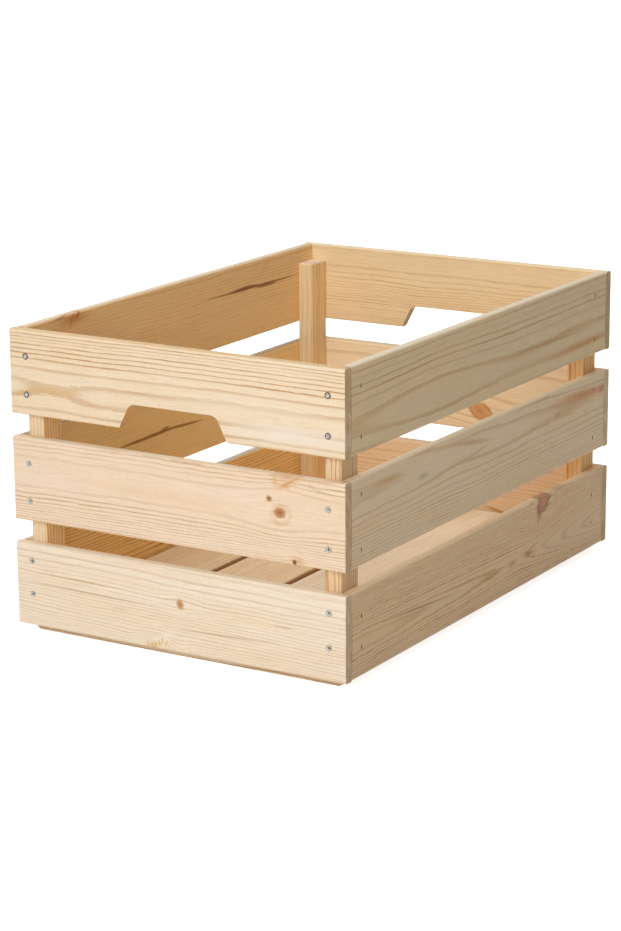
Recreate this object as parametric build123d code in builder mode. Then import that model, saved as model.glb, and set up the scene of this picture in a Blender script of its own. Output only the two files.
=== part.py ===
# A slatted pine storage crate with a hand-hold at each end, in millimetres.
# X runs along the crate, Y across it and Z up. The origin is on the ground under its centre.
# The front is the -X end, and left and right are as seen from outside that end.

import os
from math import cos, pi, radians, tan

from build123d import *

# Overall
crate_length = 460.0
crate_width = 310.0
foot_height = 7.0  # how far the walls stand above the ground, on the floor's battens

# Wall boards, three to a wall
board_thickness = 9.0
board_width = 69.5
board_gap = 18.5
board_edge_radius = 2.0  # planed long edges
board_rows = ("bottom", "middle", "top")

# Corner posts, inside the walls
post_depth = 26.0  # along the crate
post_width = 15.0  # across the crate
post_drop = 14.0  # from the rim down to a post's top, room for the crate stacked above
post_edge_radius = 2.0
post_top_bevel = 1.0

# Floor panel: slats along the crate, on two cross battens that are also its feet
slat_count = 4
slat_gap = 6.0
slat_thickness = 10.0
slat_edge_radius = 2.0
batten_width = 25.0
batten_thickness = 10.0
batten_edge_radius = 1.5
batten_bevel = 3.0  # on each end's lower corner, a lead-in when crates are stacked
batten_setback = 2.0  # behind the end boards
floor_clearance = 1.0  # around the panel, inside the walls

# Hand-hold, cut into the lower edge of each top end board
grip_mouth = 101.0  # across the board's lower edge
grip_roof = 80.0  # across the top, before its corners are rounded
grip_height = 20.5
grip_corner_radius = 8.0

# Countersunk screws
screw_sides = 8  # flats that stand for a round this small
screw_radius = 1.5
screw_head_radius = 2.8
screw_head_angle = 90.0
screw_point_length = 3.5
screw_point_radius = 0.3
screw_sink = 0.2  # of a head, under the wood's surface
screw_clearance = 0.05
end_screw_length = 22.0
floor_screw_length = 30.0

# Brads, flat T-headed nails
brad_width = 1.3
brad_thickness = 1.1
brad_head_length = 3.2
brad_head_thickness = 0.9
brad_sink = 0.6
brad_point_length = 1.6
brad_point_bevel = 0.4
brad_clearance = 0.05
side_brad_length = 16.5
floor_brad_length = 16.5

# Screw places on the end boards, from the boards' own edges
end_screw_inset = 15.0
screw_below_edge = 21.6
screw_above_edge = 16.8
bottom_screw_below_edge = 15.0
bottom_screw_above_edge = 26.7

# Brad places on the side boards, from the boards' own edges and ends
front_brad_inset = 14.8
rear_brad_inset = 21.8
brad_below_post_top = 3.0
brad_below_edge = 12.8
brad_above_edge = 13.2
bottom_brad_below_edge = 21.0
bottom_brad_above_edge = 23.4

# Fastener places on the floor panel
floor_screw_inset = 13.0  # from the end boards
floor_screw_inward = 10.0  # from the side boards
floor_brad_spread = 36.0  # between the two brads in a slat's end

# What follows from the sizes above
inner_length = crate_length - 2 * board_thickness
inner_width = crate_width - 2 * board_thickness
row_pitch = board_width + board_gap
rim_height = foot_height + len(board_rows) * row_pitch - board_gap
floor_top = batten_thickness + slat_thickness
post_height = rim_height - post_drop - floor_top
slat_length = inner_length - 2 * floor_clearance
slat_pitch = (inner_width - 2 * floor_clearance + slat_gap) / slat_count
slat_width = slat_pitch - slat_gap
batten_length = inner_width - 2 * floor_clearance
batten_place = inner_length / 2 - batten_setback - batten_width / 2
screw_hole_radius = screw_radius + screw_clearance
screw_sink_radius = screw_head_radius + screw_sink + 2 * screw_clearance
screw_taper = screw_head_angle / 2
screw_point_fall = (screw_radius - screw_point_radius) * cos(pi / screw_sides)  # of a flat, to the tip

# Heights of the fasteners in a board, up and down from the board's middle
half_board = board_width / 2
screw_heights = {
    "top": (half_board - screw_below_edge, screw_above_edge - half_board),
    "middle": (half_board - screw_below_edge, screw_above_edge - half_board),
    "bottom": (half_board - bottom_screw_below_edge, bottom_screw_above_edge - half_board),
}
brad_heights = {
    "top": (half_board - post_drop - brad_below_post_top, brad_above_edge - half_board),
    "middle": (half_board - brad_below_edge, brad_above_edge - half_board),
    "bottom": (half_board - bottom_brad_below_edge, bottom_brad_above_edge - half_board),
}

end_walls = {"front": Vector(-1, 0, 0), "rear": Vector(1, 0, 0)}
side_walls = {"left": Vector(0, 1, 0), "right": Vector(0, -1, 0)}
up = Vector(0, 0, 1)

os.makedirs("parts", exist_ok=True)


def save(piece, name):
    piece.label = name
    export_step(piece, f"parts/{name}.step")
    print(name, "solids", len(piece.solids()), "volume", round(piece.volume))


# The outer face of a wall at one row: local x runs along the wall, y up and z outwards
def wall_face(outward, row):
    reach = crate_length / 2 if abs(outward.X) > abs(outward.Y) else crate_width / 2
    height = foot_height + board_rows.index(row) * row_pitch + half_board
    return Plane(origin=outward * reach + up * height, x_dir=up.cross(outward), z_dir=outward)


# Where the screws go on an end board, on its outer face
def screw_points(row):
    across = crate_width / 2 - end_screw_inset
    return [(side * across, height) for side in (-1, 1) for height in screw_heights[row]]


# Where the brads go on a side board, on its outer face. The front end of the board lies
# towards -X, so its local side turns over between the left wall and the right wall.
def brad_points(outward, row):
    front_side = outward.Y
    front = front_side * (inner_length / 2 - front_brad_inset)
    rear = -front_side * (inner_length / 2 - rear_brad_inset)
    return [(along, height) for along in (front, rear) for height in brad_heights[row]]


def floor_brad_points():
    points = []
    for end in (-1, 1):
        for index in range(slat_count):
            middle = slat_middle(index)
            points.append((end * batten_place, middle - floor_brad_spread / 2))
            points.append((end * batten_place, middle + floor_brad_spread / 2))
    return points


def floor_screw_points():
    along = inner_length / 2 - floor_screw_inset
    across = inner_width / 2 - floor_screw_inward
    return [(end * along, side * across) for end in (-1, 1) for side in (-1, 1)]


def slat_middle(index):
    return (index - (slat_count - 1) / 2) * slat_pitch


# A countersink for each screw's head, with the hole for its shank under it
def cut_screw_holes(face, points, depth):
    sink_depth = (screw_sink_radius - screw_hole_radius) / tan(radians(screw_taper))
    with BuildSketch(face) as sinks:
        with Locations(*points):
            RegularPolygon(screw_sink_radius, screw_sides)
    with BuildSketch(face) as shank_holes:
        with Locations(*points):
            RegularPolygon(screw_hole_radius, screw_sides)
    extrude(sinks.sketch, amount=-sink_depth, taper=screw_taper, mode=Mode.SUBTRACT)
    extrude(shank_holes.sketch, amount=-depth, mode=Mode.SUBTRACT)


# A slot for each brad's head, with the narrower hole for its shank under it
def cut_brad_holes(face, points, depth):
    slot_width = brad_width + 2 * brad_clearance
    with BuildSketch(face) as head_slots:
        with Locations(*points):
            Rectangle(slot_width, brad_head_length + 2 * brad_clearance)
    with BuildSketch(face) as shank_holes:
        with Locations(*points):
            Rectangle(slot_width, brad_thickness + 2 * brad_clearance)
    extrude(head_slots.sketch, amount=-brad_sink - brad_head_thickness, mode=Mode.SUBTRACT)
    extrude(shank_holes.sketch, amount=-depth, mode=Mode.SUBTRACT)


def end_board(wall, row):
    face = wall_face(end_walls[wall], row)
    with BuildPart() as board:
        with BuildSketch(face):
            Rectangle(crate_width, board_width)
        extrude(amount=-board_thickness)
        fillet(board.edges().filter_by(Axis.Y), board_edge_radius)
        if row == "top":
            with BuildSketch(face) as grip:
                with BuildLine():
                    Polyline(
                        (-grip_mouth / 2, -half_board),
                        (-grip_roof / 2, grip_height - half_board),
                        (grip_roof / 2, grip_height - half_board),
                        (grip_mouth / 2, -half_board),
                        close=True,
                    )
                make_face()
                fillet(grip.vertices().group_by(Axis.Y)[-1], grip_corner_radius)
            extrude(amount=-board_thickness, mode=Mode.SUBTRACT)
        cut_screw_holes(face, screw_points(row), board_thickness)
    save(board.part, f"{wall}_{row}_board")


def side_board(wall, row):
    face = wall_face(side_walls[wall], row)
    with BuildPart() as board:
        with BuildSketch(face):
            Rectangle(inner_length, board_width)
        extrude(amount=-board_thickness)
        fillet(board.edges().filter_by(Axis.X), board_edge_radius)
        cut_brad_holes(face, brad_points(side_walls[wall], row), board_thickness)
    save(board.part, f"{wall}_{row}_board")


# A post stands on the floor slats in a corner, and takes the screws of the end boards,
# the brads of the side boards and a screw from under the floor
def corner_post(end, side):
    middle = Vector(
        end_walls[end].X * (inner_length - post_depth) / 2,
        side_walls[side].Y * (inner_width - post_width) / 2,
        floor_top,
    )
    with BuildPart() as post:
        with BuildSketch(Plane(origin=middle)):
            RectangleRounded(post_depth, post_width, post_edge_radius)
        extrude(amount=post_height)
        chamfer(post.faces().sort_by(Axis.Z)[-1].edges(), post_top_bevel)
        for row in board_rows:
            screw_face = wall_face(end_walls[end], row)
            cut_screw_holes(screw_face, screw_points(row), end_screw_length + screw_clearance)
            brad_face = wall_face(side_walls[side], row)
            brads = brad_points(side_walls[side], row)
            cut_brad_holes(brad_face, brads, side_brad_length + brad_clearance)
        cut_screw_holes(-Plane.XY, floor_screw_points(), floor_screw_length + screw_clearance)
    save(post.part, f"{end}_{side}_post")


def floor_slat(index):
    base = Plane(origin=(0, slat_middle(index), batten_thickness))
    with BuildPart() as slat:
        with BuildSketch(base):
            Rectangle(slat_length, slat_width)
        extrude(amount=slat_thickness)
        fillet(slat.edges().filter_by(Axis.X), slat_edge_radius)
        cut_brad_holes(Plane.XY.offset(floor_top), floor_brad_points(), slat_thickness)
        cut_screw_holes(-Plane.XY, floor_screw_points(), floor_top)
    save(slat.part, f"floor_slat_{index + 1}")


# A batten's end view is a bar with its two lower corners bevelled
def cross_batten(end):
    outer_face = end_walls[end].X * (inner_length / 2 - batten_setback)
    view = Plane(origin=(outer_face, 0, 0), x_dir=(0, 1, 0), z_dir=(1, 0, 0))
    with BuildPart() as batten:
        with BuildSketch(view) as outline:
            Rectangle(batten_length, batten_thickness, align=(Align.CENTER, Align.MIN))
            chamfer(outline.vertices().group_by(Axis.Y)[0], batten_bevel)
        extrude(amount=-end_walls[end].X * batten_width)
        fillet(batten.edges().filter_by(Axis.Y), batten_edge_radius)
        brad_depth = floor_brad_length + brad_clearance
        cut_brad_holes(Plane.XY.offset(floor_top), floor_brad_points(), brad_depth)
        cut_screw_holes(-Plane.XY, floor_screw_points(), batten_thickness)
    save(batten.part, f"{end}_batten")


# A screw points down -Z from the wood's surface at the origin
def screw(length):
    head_height = (screw_head_radius - screw_radius) / tan(radians(screw_taper))
    with BuildPart() as body:
        with BuildSketch(Plane.XY.offset(-screw_sink)):
            RegularPolygon(screw_radius, screw_sides)
        extrude(amount=screw_sink - length)
        tip = body.faces().sort_by(Axis.Z)[0]
        chamfer(tip.edges(), screw_point_fall, screw_point_length, reference=tip)
        with BuildSketch(Plane.XY.offset(-screw_sink)):
            RegularPolygon(screw_head_radius, screw_sides)
        extrude(amount=-head_height, taper=screw_taper)
    return body.part


# A brad points down -Z from the wood's surface at the origin, with its head across local y
def brad(length):
    with BuildPart() as body:
        with BuildSketch(Plane.XY.offset(-brad_sink)):
            Rectangle(brad_width, brad_thickness)
        extrude(amount=brad_sink - length)
        tip = body.faces().sort_by(Axis.Z)[0]
        chamfer(tip.edges().filter_by(Axis.X), brad_point_length, brad_point_bevel)
        with BuildSketch(Plane.XY.offset(-brad_sink)):
            Rectangle(brad_width, brad_head_length)
        extrude(amount=-brad_head_thickness)
    return body.part


def end_screws():
    one = screw(end_screw_length)
    with BuildPart() as group:
        for outward in end_walls.values():
            for row in board_rows:
                with Locations(wall_face(outward, row)):
                    with Locations(*screw_points(row)):
                        add(one)
    save(group.part, "end_screws")


def side_brads():
    one = brad(side_brad_length)
    with BuildPart() as group:
        for outward in side_walls.values():
            for row in board_rows:
                with Locations(wall_face(outward, row)):
                    with Locations(*brad_points(outward, row)):
                        add(one)
    save(group.part, "side_brads")


def floor_brads():
    one = brad(floor_brad_length)
    with BuildPart() as group:
        with Locations(Plane.XY.offset(floor_top)):
            with Locations(*floor_brad_points()):
                add(one)
    save(group.part, "floor_brads")


def floor_screws():
    one = screw(floor_screw_length)
    with BuildPart() as group:
        with Locations(-Plane.XY):
            with Locations(*floor_screw_points()):
                add(one)
    save(group.part, "floor_screws")


for row in board_rows:
    for wall in end_walls:
        end_board(wall, row)
    for wall in side_walls:
        side_board(wall, row)
for end in end_walls:
    cross_batten(end)
    for side in side_walls:
        corner_post(end, side)
for index in range(slat_count):
    floor_slat(index)
end_screws()
side_brads()
floor_brads()
floor_screws()
print("crate", crate_length, "by", crate_width, "by", rim_height, "mm")
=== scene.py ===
from math import cos, radians, sin

import bpy
import numpy as np
from mathutils import Matrix, Vector


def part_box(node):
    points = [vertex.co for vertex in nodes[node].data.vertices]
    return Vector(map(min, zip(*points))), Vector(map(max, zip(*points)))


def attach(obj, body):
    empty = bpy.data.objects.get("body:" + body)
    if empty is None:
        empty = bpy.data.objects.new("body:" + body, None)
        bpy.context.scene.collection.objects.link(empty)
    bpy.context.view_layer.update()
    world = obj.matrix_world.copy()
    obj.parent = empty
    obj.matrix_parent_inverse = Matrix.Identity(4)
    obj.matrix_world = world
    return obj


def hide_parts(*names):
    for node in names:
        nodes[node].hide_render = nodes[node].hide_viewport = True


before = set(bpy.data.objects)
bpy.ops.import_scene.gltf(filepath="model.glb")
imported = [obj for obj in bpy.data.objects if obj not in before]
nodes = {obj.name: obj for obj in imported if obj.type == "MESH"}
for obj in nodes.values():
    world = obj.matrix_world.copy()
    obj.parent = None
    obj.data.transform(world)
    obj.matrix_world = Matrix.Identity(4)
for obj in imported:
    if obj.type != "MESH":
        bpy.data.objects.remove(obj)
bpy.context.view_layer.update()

scene = bpy.context.scene
scene.view_settings.view_transform = "Standard"
print("frame loaded,", len(nodes), "nodes")


# sRGB hex to linear: the lowest part of the curve is a straight line, the rest a 2.4 power
def linear(hexColour):
    srgb = np.array([int(hexColour[i:i + 2], 16) for i in (1, 3, 5)]) / 255
    rgb = np.where(srgb <= 0.04045, srgb / 12.92, ((srgb + 0.055) / 1.055) ** 2.4)
    return (*rgb.tolist(), 1.0)


# adds a node with its settings, and links or values for its inputs; stops are a ramp's places and shades
def addNode(tree, kind, inputs=None, stops=(), **settings):
    node = tree.nodes.new("ShaderNode" + kind)
    for name, value in settings.items():
        setattr(node, name, value)
    for key, value in (inputs or {}).items():
        if isinstance(value, bpy.types.Node):
            value = value.outputs[0]
        if isinstance(value, bpy.types.NodeSocket):
            tree.links.new(value, node.inputs[key])
        else:
            node.inputs[key].default_value = value
    for i, (place, shade) in enumerate(stops):
        stop = node.color_ramp.elements[i] if i < 2 else node.color_ramp.elements.new(place)
        stop.position = place
        stop.color = linear(shade) if isinstance(shade, str) else (shade, shade, shade, 1)
    return node


def newMaterial(name):
    material = bpy.data.materials.new(name)
    material.use_nodes = True
    material.node_tree.nodes.clear()
    return material, material.node_tree


def dress(piece, material):
    piece.data.materials.clear()
    piece.data.materials.append(material)


# camera at the photograph's corner view, fitted to the crate's edges in the 621 by 931 frame
view = {
    "place": (-1.9117, -1.1486, 0.6856), "yaw": 31.333, "dip": 14.527, "roll": -0.415,
    "focalPixels": 2710.2, "frameHeight": 931, "farthest": 50,
}


def makeCamera():
    yaw, dip, roll = (radians(view[key]) for key in ("yaw", "dip", "roll"))
    ahead = Vector((cos(yaw) * cos(dip), sin(yaw) * cos(dip), -sin(dip)))
    level = Vector((sin(yaw), -cos(yaw), 0))
    top = level.cross(ahead)
    right = level * cos(roll) + top * sin(roll)
    upward = top * cos(roll) - level * sin(roll)
    data = bpy.data.cameras.new("photoCamera")
    data.lens = view["focalPixels"] * data.sensor_width / view["frameHeight"]
    data.clip_end = view["farthest"]
    camera = bpy.data.objects.new("photoCamera", data)
    turn = Matrix((right, upward, -ahead)).transposed()
    camera.matrix_world = Matrix.Translation(view["place"]) @ turn.to_4x4()
    scene.collection.objects.link(camera)
    scene.camera = camera


makeCamera()
print("camera set")

planeDepth = 0.01  # mm; points of a fastener's head this close to its face are in the face


# corner points of a CAD node's mesh, in mm
def nodePoints(node):
    mesh = nodes[node].data
    points = np.empty(len(mesh.vertices) * 3)
    mesh.vertices.foreach_get("co", points)
    return points.reshape(-1, 3) * 1000


# groups points of a lattice: along each axis, a gap wider than a head starts a new group
def latticeCentres(points, gap):
    marks = []
    for values in points.T:
        order = np.argsort(values)
        mark = np.empty(len(values), int)
        mark[order] = np.concatenate([[0], np.cumsum(np.diff(values[order]) > gap)])
        marks.append(mark)
    which = np.unique(np.stack(marks, 1), axis=0, return_inverse=True)[1].ravel()
    return np.stack([np.bincount(which, values) / np.bincount(which) for values in points.T], 1)


# Planed pine, unfinished: cream earlywood and tan latewood in growth rings round a far pith, so each face
# shows its own cut of the same rings, with fine fibres, knots and resin. It is matt, with a faint sheen.
# Each board's own frame is in mm: along the grain, across the face, and through it to the viewer.
boardAxes = {
    "end": ((0, -1, 0), (0, 0, 1), (-1, 0, 0)),
    "side": ((1, 0, 0), (0, 0, 1), (0, -1, 0)),
    "post": ((0, 0, 1), (1, 0, 0), (0, 1, 0)),
    "slat": ((1, 0, 0), (0, 1, 0), (0, 0, 1)),
}
# What all boards share. Sizes are in mm, most of them along, across and through the board. Ranges say what
# stretch of a noise or a turn counts. Fibres and end-grain stripes are coarser than real ones, to show.
pineGrain = {
    "wander": (170, 60, 60), "fibre": (18, 0.8, 0.8), "drift": (110, 14, 14), "stripe": (14, 3), "fuzz": 1.2,
    "year": ((0.0, 0.1), (0.05, 0.0), (0.68, 0.03), (0.85, 1.0), (0.95, 0.8)), "slowWave": 0.45,
    "quickWave": 1.9, "quickShare": 0.2, "palestYear": 0.3, "driftSeed": 50, "fuzzShare": 0.5,
    "lineFade": {"From Min": 0.3, "From Max": 0.65, "To Min": 0.55, "To Max": 1.1},
    "warmPart": {"From Min": 0.4, "From Max": 0.75},
    "backTurn": {"From Min": -0.95, "From Max": -0.5, "To Min": 1.0, "To Max": 0.0},
    "fibreShade": {"From Min": 0.4, "From Max": 1.1},
    "drink": {"From Min": 0.35, "From Max": 0.65, "To Min": 0.45, "To Max": 1.35},
    "streakFray": 0.8, "streakReach": 0.6, "knotFray": 1.2, "knotReach": {"From Min": 1.3, "From Max": 1.8},
    "easedEdge": 0.5, "relief": 0.1, "reliefStrength": 0.35, "lateRelief": 0.5,
    "rough": {"To Min": 0.5, "To Max": 0.72}, "ior": 1.45, "deep": 1e4,
}
# What each board may change: ring is a year's width, face the year that shows in the middle of the face,
# pith where the rings' centre lies across and through, turn its slant in degrees, and back the tone of the
# face turned from the viewer.
pineLook = {
    "early": "#F2E0C8", "late": "#BA8638", "warm": "#EFD0A0", "back": None, "edge": "#EBD3AC",
    "edgeShare": 0.6, "endGrain": "#D6C8BA", "strength": 0.95, "backLines": 1.0, "warmth": 0.35,
    "fibre": 0.13, "fray": 0.7, "ring": 1.7, "face": 0.3, "pith": (-12, -55), "turn": (0, 0),
    "sway": (11, 0.7), "uneven": 0.4, "seed": 1.0, "swells": (), "knots": (), "streaks": (),
}
swellLook = {"ease": "SMOOTHSTEP"}
knotLook = {"spread": (30, 14), "bend": 0.6, "twist": 0, "tilt": 0, "strength": 0.9,
            "heart": "#96552E", "middle": "#BC7E48", "rim": "#CDA26C"}
streakLook = {"tilt": 0, "soft": 1.0, "turnedTo": None}

frontBoards = {
    "front_top_board": {
        "axes": "end", "seed": 0.59, "pith": (-12, -52.5), "ring": 1.75, "face": 27.58, "early": "#F6E3C8",
        "strength": 1.25, "sway": (8, 0.3), "edge": "#D4AC6A", "edgeShare": 0.75,
        "swells": ({"at": (-114, -12), "size": (52, 34), "lift": 0.62},),
        "streaks": (
            {"at": (105, -22), "size": (85, 12), "colour": "#F7EBDB", "strength": 0.95},
            {"at": (70, -3), "size": (150, 9), "colour": "#F7E8D0", "strength": 0.6},
            {"at": (-112, -12), "size": (28, 5), "colour": "#E2B878", "strength": 0.5},
            {"at": (95, -33.5), "size": (60, 1.2), "colour": "#C99A55", "strength": 0.5},
            # the sawn end of the hand-hold: its end grain with painted warm shade and bounce light of the
            # crate's inside
            {"at": (-45, -25), "size": (24, 24), "colour": "#EEB87B", "strength": 1.0, "turnedTo": 0})},
    # painted light on its top edge, which lies in the shade of the board above
    "front_middle_board": {
        "axes": "end", "seed": 2.1, "pith": (8.5, -41), "ring": 1.5, "face": 4.14, "early": "#F7E2CB",
        "strength": 0.8, "warm": "#F0CFA4", "edge": "#FFE9C6", "edgeShare": 0.85,
        "knots": (
            {"at": (98, 3.5), "size": (9.5, 8), "bend": 0, "strength": 0.55, "heart": "#F5DFC2",
             "middle": "#F5DFC2", "rim": "#D3A868"},
            {"at": (97, 5), "size": (6, 4.5), "spread": (55, 32), "bend": 0.55, "twist": -8},
            {"at": (87.5, 15), "size": (2.8, 2.6), "bend": 0, "heart": "#86602F", "middle": "#A67A42",
             "rim": "#D9B27C"},
            {"at": (103, 34), "size": (14, 9), "tilt": 28, "bend": 0, "strength": 0.45, "heart": "#E0A878",
             "middle": "#EBC08C", "rim": "#D2974E"},
            {"at": (110, -32.5), "size": (2, 2.6), "spread": (16, 10), "heart": "#3A1A0A",
             "middle": "#7A4420"}),
        "streaks": (
            {"at": (-40, 5), "size": (90, 8), "colour": "#EBC695", "strength": 0.3},
            {"at": (-30, 26), "size": (150, 9), "colour": "#F7E2CB", "strength": 0.55},
            {"at": (104.5, 29), "size": (14, 2), "tilt": 31, "colour": "#B8782A", "strength": 0.85},
            {"at": (103, 26.5), "size": (6, 2.4), "tilt": 10, "colour": "#DDA050", "strength": 0.6},
            {"at": (93, 30), "size": (2.5, 6), "colour": "#DDB47C", "strength": 0.5},
            {"at": (131, 27), "size": (22, 1.2), "tilt": -14, "colour": "#C79A66", "strength": 0.5},
            {"at": (96, -3), "size": (16, 4), "colour": "#E6BC84", "strength": 0.45},
            {"at": (113, -31), "size": (10, 5), "colour": "#D89A58", "strength": 0.5})},
    # painted light on its top edge, which lies in the shade of the board above
    "front_bottom_board": {
        "axes": "end", "seed": 3.7, "pith": (45, -45), "ring": 2.0, "face": 20.3, "turn": (1.2, 0),
        "early": "#F9ECDA", "strength": 0.62, "edge": "#FFEDD0", "edgeShare": 0.85,
        "knots": (
            {"at": (4, 5.5), "size": (3.6, 5), "tilt": 20, "spread": (30, 16), "heart": "#A8733E",
             "middle": "#CB9C68", "rim": "#DFBB8A"},
            # this one lies below the board's edge: it only bends the rings
            {"at": (-14, -38), "size": (8, 4), "spread": (40, 26), "twist": 50, "bend": 0.2,
             "strength": 0.0}),
        "streaks": (
            {"at": (-80, 1), "size": (95, 1.3), "tilt": -1.0, "colour": "#B07C3C", "strength": 0.6},
            {"at": (-90, 10), "size": (45, 1.3), "tilt": -1.0, "colour": "#C0924E", "strength": 0.5},
            {"at": (40, -14), "size": (70, 1.2), "tilt": 1.5, "colour": "#A87236", "strength": 0.55},
            {"at": (100, 2), "size": (14, 1.2), "colour": "#A87236", "strength": 0.5},
            {"at": (-12, -24), "size": (26, 5), "tilt": 32, "colour": "#FCF1DF", "strength": 0.7},
            {"at": (-22, -32), "size": (14, 4), "tilt": 20, "colour": "#E6BC74", "strength": 0.6},
            # a feather of short strokes above that knot
            *({"at": at, "size": (1.2, 4.2), "tilt": tilt, "colour": "#C08C40", "strength": 0.5, "soft": 0.9}
              for at, tilt in (((-27, -31.5), 48), ((-23.2, -31.6), 20), ((-20, -31.5), 14),
                               ((-16.4, -29.6), 8), ((-13.5, -26.4), -4), ((-9.5, -29), -20))))},
}
# their inner faces are golden with painted warm bounce light of the crate's inside; their backs are plain
rearBoards = {
    "rear_top_board": {
        "axes": "end", "seed": 4.2, "pith": (24, -50), "ring": 1.3, "face": 27.3, "early": "#F5DBB0",
        "back": "#F4DFC0", "backLines": 1.6, "strength": 0.7, "edge": "#F3E2C4", "endGrain": "#C4BEBC"},
    "rear_middle_board": {
        "axes": "end", "seed": 5.9, "pith": (8, -60), "ring": 1.9, "early": "#FFEBC8", "back": "#F6E4C8",
        "backLines": 1.8, "strength": 0.5, "endGrain": "#D2CCCC",
        "knots": (
            {"at": (31, -16), "size": (14, 8), "tilt": -38, "spread": (50, 30), "heart": "#D08C48",
             "middle": "#DDA768", "rim": "#CC8E4A"},),
        "streaks": (
            {"at": (40, -14), "size": (12, 2.4), "tilt": -46, "colour": "#A8621F", "strength": 0.8},
            {"at": (24, -19), "size": (11, 2.4), "tilt": -46, "colour": "#B87228", "strength": 0.8})},
    "rear_bottom_board": {
        "axes": "end", "seed": 6.4, "pith": (30, -50), "ring": 1.3, "early": "#FADDB8", "back": "#F5DFC0",
        "backLines": 2.0, "strength": 0.5, "late": "#C98850", "endGrain": "#C6C0C0",
        "streaks": (
            {"at": (50, -20), "size": (22, 2.4), "tilt": -12, "colour": "#B0702C", "strength": 0.75},)},
}
rightBoards = {
    "right_top_board": {
        "axes": "side", "seed": 3.12, "pith": (-13, -55), "ring": 2.9, "face": 0.74, "turn": (0, 0.08),
        "early": "#EAD7B4", "edge": "#EADDC6", "strength": 0.75, "sway": (8, 0.3), "uneven": 0.25,
        "swells": ({"at": (-90, -13), "size": (150, 80), "lift": -1.2},),
        "streaks": (
            {"at": (165, -21), "size": (85, 6), "tilt": 1, "colour": "#CA8845", "strength": 0.55},
            {"at": (110, -7.5), "size": (120, 2.2), "tilt": -1, "colour": "#BC8038", "strength": 0.5})},
    "right_middle_board": {
        # painted light on its top edge, which lies in the shade of the board above
        "axes": "side", "seed": 8.8, "pith": (18, -46), "ring": 1.8, "face": 21.4, "turn": (0.6, -0.4),
        "early": "#F0DEC1", "strength": 0.9, "edge": "#FDE9C9", "edgeShare": 0.85,
        "swells": ({"at": (-60, 18), "size": (75, 45), "lift": 0.9},),
        "streaks": (
            {"at": (178, 21.5), "size": (80, 7), "tilt": -2.5, "colour": "#CA8845", "strength": 0.9},
            {"at": (216, 20), "size": (12, 6), "colour": "#C07A48", "strength": 0.7},
            {"at": (-165, 24), "size": (36, 4.4), "colour": "#C8964F", "strength": 0.6},
            {"at": (-28, 23.5), "size": (48, 3.6), "tilt": -8, "colour": "#BE8E4A", "strength": 0.6},
            {"at": (-20, 13.5), "size": (34, 1.6), "tilt": 5, "colour": "#BE8E4A", "strength": 0.45},
            {"at": (-110, 14), "size": (14, 4), "colour": "#9C8A70", "strength": 0.5},
            {"at": (128, 14), "size": (9, 3), "colour": "#9C7F5C", "strength": 0.5})},
    # painted light on its top edge, which lies in the shade of the board above
    "right_bottom_board": {
        "axes": "side", "seed": 9.1, "pith": (-9, -30), "ring": 1.05, "face": 0.75, "turn": (0, -0.34),
        "early": "#EDD4B2", "strength": 1.15, "edge": "#FBE4C2", "edgeShare": 0.85,
        "swells": ({"at": (222, -9), "size": (160, 100), "lift": -5.6, "ease": "LINEAR"},),
        "knots": (
            {"at": (104, 31), "size": (15, 9), "tilt": 40, "spread": (60, 40), "strength": 0.8,
             "heart": "#C2805E", "middle": "#AE7050", "rim": "#824E32"},),
        "streaks": (
            {"at": (-115, -4.5), "size": (85, 1.6), "tilt": -4.2, "colour": "#A8702C", "strength": 0.75},
            {"at": (95, 26), "size": (9, 3.6), "tilt": 80, "colour": "#744C34", "strength": 0.65},
            {"at": (97.5, 20), "size": (11, 2.2), "tilt": 60, "colour": "#84481C", "strength": 0.7,
             "soft": 0.9},
            {"at": (93.5, 21), "size": (9, 1.8), "tilt": 80, "colour": "#84481C", "strength": 0.6,
             "soft": 0.9},
            {"at": (113, 29), "size": (12, 1.2), "tilt": 42, "colour": "#74422A", "strength": 0.7,
             "soft": 0.6},
            {"at": (138, 34.4), "size": (24, 0.9), "colour": "#8A5434", "strength": 0.4, "soft": 0.8},
            {"at": (76, -8.5), "size": (20, 3.8), "tilt": -4, "colour": "#B98038", "strength": 0.7},
            {"at": (46, -10), "size": (14, 4.6), "colour": "#B98038", "strength": 0.6},
            # painted shade: a dark line along the board's lower edge, where the arris turns from the light
            {"at": (60, -34.5), "size": (220, 1.4), "colour": "#6B5238", "strength": 0.55})},
}
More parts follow.
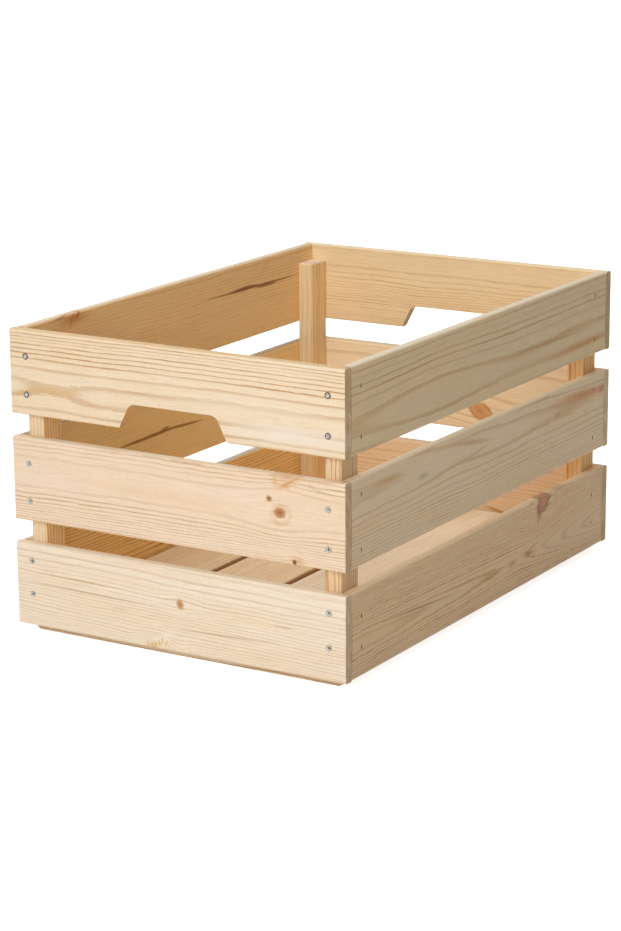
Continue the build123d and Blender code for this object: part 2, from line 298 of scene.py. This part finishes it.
# their inner faces are golden with painted warm bounce light of the crate's inside; their backs are plain
leftBoards = {
    "left_top_board": {
        "axes": "side", "seed": 10.5, "pith": (60, -60), "ring": 1.6, "early": "#FAD398", "back": "#F4DFC2",
        "backLines": 1.7, "late": "#C07C38", "strength": 0.55, "edge": "#DCCDB6", "edgeShare": 0.75,
        "streaks": (
            {"at": (118, 11), "size": (95, 1.3), "tilt": -0.6, "colour": "#94561F", "strength": 0.8,
             "soft": 0.5},
            {"at": (102, 11.8), "size": (28, 2.3), "tilt": 1, "colour": "#7E4210", "strength": 0.85,
             "soft": 0.5},
            {"at": (140, 9.6), "size": (24, 1.9), "tilt": -1, "colour": "#7E4210", "strength": 0.75,
             "soft": 0.5},
            {"at": (-170, 20), "size": (90, 30), "colour": "#E4A45E", "strength": 0.25},
            {"at": (-156, 30), "size": (30, 8), "colour": "#C67F3E", "strength": 0.75},
            {"at": (-149, 33), "size": (9, 1.7), "tilt": 48, "colour": "#B25A1E", "strength": 0.75,
             "soft": 0.8},
            {"at": (-158, 29), "size": (10, 1.5), "tilt": 58, "colour": "#BC6A2E", "strength": 0.6,
             "soft": 0.8},
            {"at": (-174, 33.5), "size": (15, 1.3), "tilt": 4, "colour": "#8A4E1C", "strength": 0.65,
             "soft": 0.8})},
    # painted shade on its top edge, dark grey-brown
    "left_middle_board": {
        "axes": "side", "seed": 11.2, "pith": (-60, -60), "ring": 1.6, "early": "#FFDA9A", "back": "#F6E2C6",
        "backLines": 2.6, "late": "#C07C38", "strength": 0.3, "edge": "#A88C70", "edgeShare": 0.85,
        "streaks": (
            {"at": (-50, -3.9), "size": (60, 1.9), "tilt": 0.6, "colour": "#96601C", "strength": 0.9,
             "soft": 0.5},
            {"at": (4, -4.8), "size": (36, 1.4), "tilt": -3, "colour": "#9C6420", "strength": 0.85,
             "soft": 0.5},
            {"at": (-27, -1.6), "size": (9, 1.6), "tilt": 4, "colour": "#96601C", "strength": 0.8,
             "soft": 0.5})},
    "left_bottom_board": {
        "axes": "side", "seed": 12.6, "pith": (-40, -40), "ring": 2.2, "early": "#FFD48C", "back": "#F3DBB9",
        "late": "#A8621C", "strength": 0.9, "edge": "#E8DCC8", "edgeShare": 0.85},
}
# the sawn tops of the posts are paler than their sides
postTop = {"at": (112, 0), "size": (60, 60), "colour": "#F4E2D2", "strength": 0.65, "turnedTo": 0}
postLook = {"axes": "post", "edgeShare": 0, "streaks": (postTop,)}
posts = {
    "front_left_post": {
        **postLook, "seed": 13.1, "pith": (30, 40), "ring": 1.9, "early": "#FAD49A", "late": "#C48240",
        "strength": 1.5, "edge": "#E6DFCC", "edgeShare": 0.5},
    "front_right_post": {
        **postLook, "seed": 14.1, "pith": (-56, 22), "ring": 2.2, "early": "#ECD0AA", "late": "#BE8A50",
        "strength": 1.8},
    "rear_left_post": {
        **postLook, "seed": 15.1, "pith": (40, -30), "ring": 2.8, "early": "#F8D9A8", "late": "#C9803A",
        "strength": 1.0, "edge": "#E4D0A8", "edgeShare": 0.6},
    "rear_right_post": {
        **postLook, "seed": 16.1, "pith": (-35, -40), "ring": 3.4, "early": "#F4C88A", "late": "#C6742E",
        "strength": 1.3},
}
# the slats' side edges are dark orange: painted shade in the gaps between the slats
slatLook = {"axes": "slat", "edge": "#B87A40"}
battenLook = {"axes": "end", "pith": (20, -40), "ring": 1.8}
floorBoards = {
    "floor_slat_1": {**slatLook, "seed": 17.1, "pith": (50, -60), "ring": 1.8, "early": "#F9E4C4"},
    "floor_slat_2": {**slatLook, "seed": 18.1, "pith": (-60, -50), "ring": 1.8, "early": "#FCEED6"},
    "floor_slat_3": {**slatLook, "seed": 19.1, "pith": (45, -60), "ring": 1.6, "early": "#F7DFBC"},
    "floor_slat_4": {**slatLook, "seed": 20.1, "pith": (-55, -60), "ring": 1.9, "early": "#F7DFBC"},
    "front_batten": {**battenLook, "seed": 21.1},
    "rear_batten": {**battenLook, "seed": 22.1},
}


# a soft ellipse on the face, right through the board: a point's offset from its middle in units of the
# ellipse's half length and half width, and the length of that offset
def reachOf(tree, board, spot, size, tilt=0):
    around = addNode(tree, "Mapping", {
        "Vector": board, "Location": (*spot["at"], 0), "Rotation": (0, 0, radians(tilt)),
        "Scale": (*size, pineGrain["deep"])}, vector_type="TEXTURE")
    return around, addNode(tree, "VectorMath", {0: around}, operation="LENGTH").outputs["Value"]


# how far the surface is turned to one of the board's own axes, from -1 to 1
def facing(tree, look, axis):
    normal = addNode(tree, "NewGeometry").outputs["Normal"]
    return addNode(tree, "VectorMath", {0: normal, 1: boardAxes[look["axes"]][axis]},
                   operation="DOT_PRODUCT").outputs["Value"]


# a share that grows from nothing, where the surface is half turned to an axis, to the whole, where it is
# turned far enough, either way round
def shareOn(tree, look, axis, share, whole):
    turned = addNode(tree, "Math", {0: facing(tree, look, axis)}, operation="ABSOLUTE")
    return addNode(tree, "MapRange", {"Value": turned, "From Min": 0.5, "From Max": whole,
                                      "To Max": share}).outputs[0]


# rings bend round a knot: near it, points are drawn to its centre and may turn about it
def bendRound(tree, board, knots):
    bent = board
    for knot in (knot for knot in knots if knot["bend"] or knot["twist"]):
        around, reach = reachOf(tree, board, knot, knot["spread"])
        near = addNode(tree, "MapRange", {"Value": reach, "To Min": 1.0, "To Max": 0.0},
                       interpolation_type="SMOOTHERSTEP").outputs[0]
        keep = addNode(tree, "Math", {0: near, 1: -knot["bend"], 2: 1.0}, operation="MULTIPLY_ADD")
        swirl = addNode(tree, "Math", {0: near, 1: radians(knot["twist"])}, operation="MULTIPLY")
        drawn = addNode(tree, "VectorMath", {0: around, "Scale": keep}, operation="SCALE")
        drawn = addNode(tree, "VectorRotate", {"Vector": drawn, "Axis": (0, 0, 1), "Angle": swirl})
        shift = addNode(tree, "VectorMath", {0: drawn, 1: around}, operation="SUBTRACT")
        bent = addNode(tree, "VectorMath", {0: shift, 1: (*knot["spread"], 0), 2: bent},
                       operation="MULTIPLY_ADD")
    return bent


# distance from the pith, with the board's swells, and frayed by its fibres
def pithRadius(tree, board, grain, fibres, look):
    fromPith = addNode(tree, "Mapping", {
        "Vector": grain, "Rotation": (0, radians(look["turn"][1]), radians(look["turn"][0])),
        "Location": (0, -look["pith"][0], -look["pith"][1])})
    across = addNode(tree, "VectorMath", {0: fromPith, 1: (0, 1, 1)}, operation="MULTIPLY")
    radius = addNode(tree, "VectorMath", {0: across}, operation="LENGTH").outputs["Value"]
    for swell in ({**swellLook, **swell} for swell in look["swells"]):
        reach = reachOf(tree, board, swell, swell["size"])[1]
        lift = addNode(tree, "MapRange", {"Value": reach, "To Min": swell["lift"], "To Max": 0.0},
                       interpolation_type=swell["ease"])
        radius = addNode(tree, "Math", {0: radius, 1: lift}, operation="ADD").outputs[0]
    return addNode(tree, "Math", {0: fibres, 1: look["fray"], 2: radius}, operation="MULTIPLY_ADD")


# how dark the year's line is at a point: years are the radius over the ring width, with wide and narrow
# ones as two waves of that, and each has its own tone; they start so that the face shows the look's year
def growthRings(tree, radius, thickness, look):
    slow, quick, share = (pineGrain[key] for key in ("slowWave", "quickWave", "quickShare"))
    faceCount = (thickness / 2 - look["pith"][1] + look["fray"] / 2) / look["ring"]
    faceWaves = sin(slow * faceCount + look["seed"]) + share * sin(quick * faceCount)
    start = look["face"] - faceCount - look["uneven"] * faceWaves
    count = addNode(tree, "Math", {0: radius, 1: look["ring"]}, operation="DIVIDE")
    slowAt = addNode(tree, "Math", {0: count, 1: slow, 2: look["seed"]}, operation="MULTIPLY_ADD")
    slowWave = addNode(tree, "Math", {0: slowAt}, operation="SINE")
    quickAt = addNode(tree, "Math", {0: count, 1: quick}, operation="MULTIPLY")
    quickWave = addNode(tree, "Math", {0: quickAt}, operation="SINE")
    waves = addNode(tree, "Math", {0: quickWave, 1: share, 2: slowWave}, operation="MULTIPLY_ADD")
    phase = addNode(tree, "Math", {0: waves, 1: look["uneven"], 2: count}, operation="MULTIPLY_ADD")
    phase = addNode(tree, "Math", {0: phase, 1: start}, operation="ADD")
    within = addNode(tree, "Math", {0: phase}, operation="FRACT")
    year = addNode(tree, "Math", {0: phase}, operation="FLOOR")
    band = addNode(tree, "ValToRGB", {0: within}, stops=pineGrain["year"])
    chance = addNode(tree, "TexWhiteNoise", {"W": year}, noise_dimensions="1D").outputs["Value"]
    tone = addNode(tree, "MapRange", {"Value": chance, "To Min": pineGrain["palestYear"] * look["strength"],
                                      "To Max": look["strength"]})
    return addNode(tree, "Math", {0: band, 1: tone}, operation="MULTIPLY")


# end grain drinks the light in stripes, and the edges get a tone set per board: painted light on top edges
# that lie in the shade of the board above, painted shade on edges that are seen in shade
def tintCuts(tree, board, colour, look):
    wide, narrow = pineGrain["stripe"]
    stripeAt = addNode(tree, "VectorMath", {0: board, 1: (0, 1 / wide, 1 / narrow)}, operation="MULTIPLY")
    stripes = addNode(tree, "TexNoise", {"Vector": stripeAt, "W": look["seed"], "Scale": 1.0, "Detail": 2.0},
                      noise_dimensions="4D").outputs[0]
    drunk = addNode(tree, "MapRange", {"Value": stripes, **pineGrain["drink"]}).outputs[0]
    for axis, tint, share, blend in ((0, look["endGrain"], drunk, "MULTIPLY"),
                                     (1, look["edge"], look["edgeShare"], "MIX")):
        amount = shareOn(tree, look, axis, share, whole=0.95)
        colour = addNode(tree, "Mix", {"Factor": amount, "A": colour, "B": linear(tint)},
                         data_type="RGBA", blend_type=blend).outputs[2]
    return colour


# streaks of resin, stain or paler wood: soft ellipses, broken up by the fibres; one with an axis in turnedTo
# keeps to the faces turned to it
def addStreaks(tree, board, fibres, colour, look):
    for streak in ({**streakLook, **streak} for streak in look["streaks"]):
        reach = reachOf(tree, board, streak, streak["size"], streak["tilt"])[1]
        ragged = addNode(tree, "Math", {0: fibres, 1: -pineGrain["streakFray"], 2: reach},
                         operation="MULTIPLY_ADD")
        amount = addNode(tree, "MapRange", {
            "Value": ragged, "From Min": pineGrain["streakReach"] - streak["soft"],
            "From Max": pineGrain["streakReach"], "To Min": streak["strength"], "To Max": 0.0},
            interpolation_type="SMOOTHSTEP").outputs[0]
        if streak["turnedTo"] is not None:
            amount = shareOn(tree, look, streak["turnedTo"], amount, whole=0.8)
        colour = addNode(tree, "Mix", {"Factor": amount, "A": colour, "B": linear(streak["colour"])},
                         data_type="RGBA").outputs[2]
    return colour


# knots: a heart, a middle and a rim, each with its tone, and an outline broken up by the fibres
def addKnots(tree, board, fibres, colour, knots):
    for knot in knots:
        reach = reachOf(tree, board, knot, knot["size"], knot["tilt"])[1]
        ragged = addNode(tree, "Math", {0: fibres, 1: pineGrain["knotFray"], 2: reach},
                         operation="MULTIPLY_ADD")
        amount = addNode(tree, "MapRange", {
            "Value": ragged, **pineGrain["knotReach"], "To Min": knot["strength"], "To Max": 0.0},
            interpolation_type="SMOOTHSTEP")
        heart = addNode(tree, "ValToRGB", {0: reach}, stops=(
            (0.15, knot["heart"]), (1.0, knot["rim"]), (0.6, knot["middle"])))
        colour = addNode(tree, "Mix", {"Factor": amount, "A": colour, "B": heart},
                         data_type="RGBA").outputs[2]
    return colour


def planedPine(name, centre, thickness, look):
    material, tree = newMaterial("planedPine." + name)
    wander, fibre, drifting = ([1 / size for size in pineGrain[key]] for key in ("wander", "fibre", "drift"))
    knots = [{**knotLook, **knot} for knot in look["knots"]]
    turn = Matrix(boardAxes[look["axes"]])
    place = addNode(tree, "TexCoord").outputs["Object"]
    board = addNode(tree, "Mapping", {
        "Vector": place, "Scale": (1000, 1000, 1000), "Rotation": turn.to_euler(),
        "Location": turn @ Vector(centre) * -1000})  # metres to mm

    # the grain bends round knots and wanders slowly
    bent = bendRound(tree, board, knots)
    waveAt = addNode(tree, "VectorMath", {0: board, 1: wander}, operation="MULTIPLY")
    wave = addNode(tree, "TexNoise", {"Vector": waveAt, "W": look["seed"], "Scale": 1.0, "Detail": 4.0,
                                      "Roughness": 0.55}, noise_dimensions="4D").outputs["Color"]
    sway = addNode(tree, "VectorMath", {0: wave, 1: (0.5, 0.5, 0.5)}, operation="SUBTRACT")
    grain = addNode(tree, "VectorMath", {0: sway, 1: (0, *look["sway"]), 2: bent}, operation="MULTIPLY_ADD")
    fibreAt = addNode(tree, "VectorMath", {0: grain, 1: fibre}, operation="MULTIPLY")
    fibres = addNode(tree, "TexNoise", {"Vector": fibreAt, "Scale": 1.0, "Detail": 3.0,
                                        "Roughness": 0.65}).outputs[0]
    lateness = growthRings(tree, pithRadius(tree, board, grain, fibres, look), thickness, look)

    # lines fade in and out along the board, and a warmer tone drifts over it
    driftAt = addNode(tree, "VectorMath", {0: grain, 1: drifting}, operation="MULTIPLY")
    drift = addNode(tree, "TexNoise", {"Vector": driftAt, "W": look["seed"] + pineGrain["driftSeed"],
                                       "Scale": 1.0, "Detail": 2.0}, noise_dimensions="4D")
    fade = addNode(tree, "MapRange", {"Value": drift, **pineGrain["lineFade"]})
    lateness = addNode(tree, "Math", {0: lateness, 1: fade}, operation="MULTIPLY")
    hue = addNode(tree, "SeparateColor", {0: drift.outputs["Color"]})
    warmth = addNode(tree, "MapRange", {"Value": hue.outputs[2], **pineGrain["warmPart"],
                                        "To Max": look["warmth"]})

    # the back of a board, turned away from the photograph's corner, may have its own tone and bolder lines;
    # on the inner boards the early tone toward the corner holds painted warm bounce light, and the back is
    # plain
    back = addNode(tree, "MapRange", {"Value": facing(tree, look, 2), **pineGrain["backTurn"]},
                   interpolation_type="SMOOTHSTEP")
    bolder = addNode(tree, "MapRange", {"Value": back, "To Min": 1.0, "To Max": look["backLines"]})
    lateness = addNode(tree, "Math", {0: lateness, 1: bolder}, operation="MULTIPLY", use_clamp=True)
    early = addNode(tree, "Mix", {"Factor": back, "A": linear(look["early"]),
                                  "B": linear(look["back"] or look["early"])}, data_type="RGBA")
    ground = addNode(tree, "Mix", {"Factor": warmth, "A": early.outputs[2], "B": linear(look["warm"])},
                     data_type="RGBA")
    wood = addNode(tree, "Mix", {"Factor": lateness, "A": ground.outputs[2], "B": linear(look["late"])},
                   data_type="RGBA")

    # a fuzz of torn fibre ends breaks up the plain parts
    fuzz = addNode(tree, "TexNoise", {"Vector": board, "Scale": 1 / pineGrain["fuzz"], "Detail": 1.0})
    fuzzed = addNode(tree, "Math", {0: fuzz, 1: pineGrain["fuzzShare"], 2: fibres}, operation="MULTIPLY_ADD")
    shade = addNode(tree, "MapRange", {"Value": fuzzed, **pineGrain["fibreShade"],
                                       "To Min": 1 - look["fibre"], "To Max": 1 + look["fibre"]})
    colour = addNode(tree, "VectorMath", {0: wood.outputs[2], "Scale": shade}, operation="SCALE").outputs[0]
    colour = tintCuts(tree, board, colour, look)
    colour = addStreaks(tree, board, fibres, colour, look)
    colour = addKnots(tree, board, fibres, colour, knots)

    # the arrises are eased; fibres and hard latewood lines stand a little proud
    eased = addNode(tree, "Bevel", {"Radius": pineGrain["easedEdge"] / 1000}, samples=4)
    height = addNode(tree, "Math", {0: lateness, 1: pineGrain["lateRelief"], 2: fibres},
                     operation="MULTIPLY_ADD")
    bump = addNode(tree, "Bump", {
        "Strength": pineGrain["reliefStrength"], "Distance": pineGrain["relief"] / 1000, "Height": height,
        "Normal": eased})
    rough = addNode(tree, "MapRange", {"Value": fibres, **pineGrain["rough"]})
    shader = addNode(tree, "BsdfPrincipled", {"Base Color": colour, "Roughness": rough,
                                              "IOR": pineGrain["ior"], "Normal": bump})
    addNode(tree, "OutputMaterial", {"Surface": shader})
    return material


# painted shade of the sunk slits, with some iron stain, darkens the wood round the brads of the side boards,
# and the seams at their ends are painted dark as shade in the joints
bradShadeAndStain = {"size": (0.95, 2.2), "colour": "#241505", "strength": 0.95, "soft": 0.4}
endSeamShade = {"size": (0.9, 42), "colour": "#6B4A30", "strength": 0.55, "soft": 0.5}
bradGap = 5  # mm; points further apart belong to two brads


def dressBoards():
    brads = nodePoints("side_brads")
    inFace = brads[:, 1] < brads[:, 1].min() + planeDepth
    heads = latticeCentres(brads[inFace][:, [0, 2]], bradGap)
    figures = {**frontBoards, **rearBoards, **rightBoards, **leftBoards, **posts, **floorBoards}
    for name, figure in figures.items():
        low, high = (Vector(corner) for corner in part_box(name))
        centre, size = (low + high) / 2, high - low
        look = {**pineLook, **figure}
        if look["axes"] == "side":
            spots = heads[abs(heads[:, 1] / 1000 - centre.z) < size.z / 2]
            # painted shade of each brad's sunk slit, with some iron stain
            bradShadesAndStains = [{"at": (x - centre.x * 1000, z - centre.z * 1000), **bradShadeAndStain}
                      for x, z in spots.tolist()]
            # painted shade in the joint at each end of a side board
            seamShades = [{"at": (side * size.x * 500, 0), **endSeamShade} for side in (-1, 1)]
            look["streaks"] = (*look["streaks"], *bradShadesAndStains, *seamShades)
        through = Vector(boardAxes[look["axes"]][2])
        dress(nodes[name], planedPine(name, centre, abs(through.dot(size)) * 1000, look))


dressBoards()
print("pine boards, posts, slats and battens dressed")


# Zinc plate gone dull on the screws: warm grey metal, with painted shade in the cross and round the rim.
zincPlate = {"pale": "#D4D4CC", "dark": "#A4A299", "paintedShade": "#383530", "grain": 0.6,
             "rough": {"To Min": 0.3, "To Max": 0.5}, "relief": 0.05, "reliefStrength": 0.2}


def zincMaterial():
    material, tree = newMaterial("brightZinc")
    place = addNode(tree, "TexCoord").outputs["Object"]
    cloud = addNode(tree, "TexNoise", {"Vector": place, "Scale": 1000 / zincPlate["grain"], "Detail": 2.0})
    tone = addNode(tree, "Mix", {"Factor": cloud, "A": linear(zincPlate["dark"]),
                                 "B": linear(zincPlate["pale"])}, data_type="RGBA")
    # painted shade: the mesh attribute darkens the cross recess and the rim, where the countersink's shadow
    # falls
    paintedShade = addNode(tree, "Attribute", attribute_name="paintedShade").outputs["Fac"]
    shadedZinc = addNode(tree, "Mix", {"Factor": paintedShade, "A": tone.outputs[2], "B": linear(zincPlate["paintedShade"])},
                      data_type="RGBA")
    rough = addNode(tree, "MapRange", {"Value": cloud, **zincPlate["rough"]})
    bump = addNode(tree, "Bump", {
        "Strength": zincPlate["reliefStrength"], "Distance": zincPlate["relief"] / 1000, "Height": cloud})
    shader = addNode(tree, "BsdfPrincipled", {"Base Color": shadedZinc.outputs[2], "Metallic": 1.0,
                                              "Roughness": rough, "Normal": bump})
    addNode(tree, "OutputMaterial", {"Surface": shader})
    return material


# Brad steel, punched in and rusted into the wood: each brad shows as a matt dark brown slit, near black as
# painted shade of its sunk slit.
bradSteel = {"dark": "#1C1206", "pale": "#3A2814", "grain": 0.8, "rough": {"To Min": 0.6, "To Max": 0.9},
             "specular": 0.1}


def bradMaterial():
    material, tree = newMaterial("dullBradSteel")
    place = addNode(tree, "TexCoord").outputs["Object"]
    cloud = addNode(tree, "TexNoise", {"Vector": place, "Scale": 1000 / bradSteel["grain"], "Detail": 2.0})
    tone = addNode(tree, "Mix", {"Factor": cloud, "A": linear(bradSteel["dark"]),
                                 "B": linear(bradSteel["pale"])}, data_type="RGBA")
    rough = addNode(tree, "MapRange", {"Value": cloud, **bradSteel["rough"]})
    shader = addNode(tree, "BsdfPrincipled", {"Base Color": tone.outputs[2], "Roughness": rough,
                                              "Specular IOR Level": bradSteel["specular"]})
    addNode(tree, "OutputMaterial", {"Surface": shader})
    return material


# countersunk screw in mm: flat head with a cross recess, cone, then a threaded shank to a point; from the
# lower to the upper of the two heights, the painted shade moves from the cross to the rim
screwShape = {
    "columns": 40, "faceRows": 18, "turnRows": 5, "tipRows": 6, "headRadius": 2.5, "rim": 0.2,
    "coreRadius": 1.05, "threadRise": 0.3, "ridgeSlope": 4, "pitch": 1.8, "tip": 4.0, "longest": 60,
    "armLength": 1.5, "armHalf": 0.42, "recess": 1.4, "shallower": 0.6, "wall": 0.25,
    "crossShade": 0.9, "rimShade": 0.9, "shadeEdge": 0.3, "shadeRange": (0.65, 1),
    "shadeHeights": (160, 190), "rimShares": (0.35, 1.0), "crossShares": (1.0, 0.4), "seed": 5,
}


# A screw is a surface of angle and row. Rows run from the middle of the head out to the rim, down the cone
# and along the shank. The head sinks inside a cross: deep in the middle, shallow at the ends of its arms.
# The shank's radius rises to a ridge wherever depth over pitch and the angle over a turn agree.
def screwSurface(length):
    shape = screwShape
    angle = np.arange(shape["columns"]) * 2 * np.pi / shape["columns"]
    faceRadius = np.linspace(0, shape["headRadius"], shape["faceRows"] + 1)[1:]
    coneEnd = shape["rim"] + shape["headRadius"] - shape["coreRadius"]
    shank = np.arange(coneEnd, length - shape["tip"], shape["pitch"] / shape["turnRows"])
    point = np.linspace(length - shape["tip"], length, shape["tipRows"] + 1)[:-1]
    taper = (length - point) / shape["tip"]
    depth = np.concatenate([0 * faceRadius, [shape["rim"]], shank, point])
    plain = np.concatenate([faceRadius, [shape["headRadius"]], 0 * shank + shape["coreRadius"],
                            shape["coreRadius"] * taper])
    threaded = np.concatenate([0 * faceRadius, [0, 0], 0 * shank[1:] + 1, taper])
    turns = depth[:, None] / shape["pitch"] - angle / (2 * np.pi)
    ridge = np.clip(1 - shape["ridgeSlope"] * np.abs(turns - np.floor(turns) - 0.5), 0, 1)
    radius = plain[:, None] + shape["threadRise"] * threaded[:, None] * ridge
    x, y = radius * np.cos(angle), radius * np.sin(angle)
    long, short = np.maximum(abs(x), abs(y)), np.minimum(abs(x), abs(y))
    inArm = np.clip((shape["armHalf"] - short) / shape["wall"] + 0.5, 0, 1)
    inArm = inArm * np.clip((shape["armLength"] - long) / shape["wall"] + 0.5, 0, 1)
    inArm[shape["faceRows"]:] = 0
    sunk = shape["recess"] * inArm * (1 - shape["shallower"] * long / shape["armLength"])
    ring = np.stack([x, y, depth[:, None] + sunk], -1).reshape(-1, 3)
    poles = np.array([[0, 0, shape["recess"]], [0, 0, length]])
    # painted shade in the cross recess and round the rim of the head, where shadow falls in the countersink
    inCross = np.append(shape["crossShade"] * inArm, [shape["crossShade"], 0])
    fromRim = shape["headRadius"] - radius
    onRim = np.append(np.clip((shape["rimShade"] - fromRim) / shape["shadeEdge"], 0, 1), [0, 0])
    return np.concatenate([ring, poles]), inCross, onRim


# quads between neighbouring rows, and a fan of triangles at each pole
def screwFaces(count):
    columns = screwShape["columns"]
    rows = (count - 2) // columns
    at = np.arange(rows * columns).reshape(rows, columns)
    after = np.roll(at, -1, 1)
    quads = np.stack([at[:-1], after[:-1], after[1:], at[1:]], -1).reshape(-1, 4)
    first = np.stack([after[0], at[0], 0 * at[0] + count - 2], -1)
    last = np.stack([at[-1], after[-1], 0 * at[0] + count - 1], -1)
    return quads, np.concatenate([first, last])


# each screw of a node is found by its head: the points that lie in the plane of the heads
def makeScrews(name, node, heads, material):
    points = nodePoints(node)
    random = np.random.default_rng(screwShape["seed"])
    gap = 2 * screwShape["headRadius"]
    allPoints, allQuads, allTriangles, allPaintedShade, start = [], [], [], [], 0
    for axis, side in heads:
        plane = side * (side * points[:, axis]).max()
        others = [(axis + 1) % 3, (axis + 2) % 3]
        depths = abs(points[:, axis] - plane)
        inPlane = points[depths < planeDepth]
        surface, inCross, onRim = screwSurface(depths[depths < screwShape["longest"]].max())
        quads, triangles = screwFaces(len(surface))
        for centre in latticeCentres(inPlane[:, others], gap):
            spin = random.uniform(0, np.pi / 2)
            placed = np.empty_like(surface)
            placed[:, others[0]] = centre[0] + surface[:, 0] * cos(spin) - surface[:, 1] * sin(spin)
            placed[:, others[1]] = centre[1] + (surface[:, 0] * sin(spin) + surface[:, 1] * cos(spin)) * side
            placed[:, axis] = plane - side * surface[:, 2]
            allPoints.append(placed)
            allQuads.append(quads + start)
            allTriangles.append(triangles + start)
            # painted shade set by the screw's height: upper screws get it round the rim, lower ones in the
            # cross
            rimShare, crossShare = (np.interp(placed[:, 2].max(), screwShape["shadeHeights"], screwShape[key])
                                    for key in ("rimShares", "crossShares"))
            crossShare *= random.uniform(*screwShape["shadeRange"])
            allPaintedShade.append(np.maximum(inCross * crossShare, onRim * rimShare))
            start += len(surface)
    mesh = bpy.data.meshes.new(name)
    mesh.from_pydata(np.concatenate(allPoints) / 1000, [],
                     np.concatenate(allQuads).tolist() + np.concatenate(allTriangles).tolist())
    mesh.shade_smooth()
    mesh.attributes.new("paintedShade", "FLOAT", "POINT").data.foreach_set("value", np.concatenate(allPaintedShade))
    piece = bpy.data.objects.new(name, mesh)
    scene.collection.objects.link(piece)
    dress(piece, material)
    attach(piece, "root")
    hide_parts(node)


zinc = zincMaterial()
makeScrews("end_cross_screws", "end_screws", ((0, -1), (0, 1)), zinc)
makeScrews("floor_cross_screws", "floor_screws", ((2, -1),), zinc)
brad = bradMaterial()
for bradNode in ("side_brads", "floor_brads"):
    dress(nodes[bradNode], brad)
print("screws and brads made")


# white sweep: a plain pale floor that glows from near the crate outwards, and a white room, with large soft
# lamps in front on the left, overhead and behind
studio = {"room": "#FFEEDA", "roomLight": 0.118, "floorHalf": 12.0, "floor": "#E8E0D3",
          "glow": {"From Min": 0.4, "From Max": 1.5, "To Min": 0.83, "To Max": 1.0}}
lamps = {
    "keyLamp": {"place": (-2.3, -0.55, 1.1), "aim": (0, 0, 0.1), "size": 1.5, "power": 36.7},
    "topLamp": {"place": (0, 0.2, 2.4), "aim": (0, 0, 0.1), "size": 1.5, "power": 24.0},
    "backLamp": {"place": (1.7, 2.0, 0.7), "aim": (0, 0, 0.12), "size": 1.5, "power": 21.0},
}


# 1 where the eye sees a surface itself, in metal or through glass too, and 0 where it only lights others
def seenItself(tree):
    path = addNode(tree, "LightPath")
    seen = path.outputs["Is Camera Ray"]
    for ray in ("Is Glossy Ray", "Is Transmission Ray"):
        seen = addNode(tree, "Math", {0: seen, 1: path.outputs[ray]}, operation="MAXIMUM").outputs[0]
    return seen


def makeFloor():
    material, tree = newMaterial("paintedSweep")
    paint = addNode(tree, "BsdfDiffuse", {"Color": linear(studio["floor"])})
    away = addNode(tree, "VectorMath", {0: addNode(tree, "TexCoord").outputs["Object"]}, operation="LENGTH")
    level = addNode(tree, "MapRange", {"Value": away.outputs["Value"], **studio["glow"]})
    strength = addNode(tree, "Math", {0: seenItself(tree), 1: level}, operation="MULTIPLY")
    glow = addNode(tree, "Emission", {"Strength": strength})
    addNode(tree, "OutputMaterial", {"Surface": addNode(tree, "AddShader", {0: paint, 1: glow})})
    half = studio["floorHalf"]
    mesh = bpy.data.meshes.new("studioFloor")
    mesh.from_pydata([(-half, -half, 0), (half, -half, 0), (half, half, 0), (-half, half, 0)], [],
                     [(0, 1, 2, 3)])
    floor = bpy.data.objects.new("studioFloor", mesh)
    dress(floor, material)
    scene.collection.objects.link(floor)


def makeRoom():
    world = bpy.data.worlds.new("whiteRoom")
    world.use_nodes = True
    tree = world.node_tree
    tree.nodes.clear()
    seen = seenItself(tree)
    level = addNode(tree, "MapRange", {"Value": seen, "To Min": studio["roomLight"], "To Max": 1.0})
    tint = addNode(tree, "Mix", {"Factor": seen, "A": linear(studio["room"]), "B": linear("#FFFFFF")},
                   data_type="RGBA")
    room = addNode(tree, "Background", {"Color": tint.outputs[2], "Strength": level})
    addNode(tree, "OutputWorld", {"Surface": room})
    scene.world = world


def makeLamps():
    for name, lamp in lamps.items():
        data = bpy.data.lights.new(name, "AREA")
        data.energy, data.size = lamp["power"], lamp["size"]
        light = bpy.data.objects.new(name, data)
        place = Vector(lamp["place"])
        aim = (Vector(lamp["aim"]) - place).to_track_quat("-Z", "Y")
        light.matrix_world = Matrix.Translation(place) @ aim.to_matrix().to_4x4()
        scene.collection.objects.link(light)


makeFloor()
makeRoom()
makeLamps()
print("studio lit")
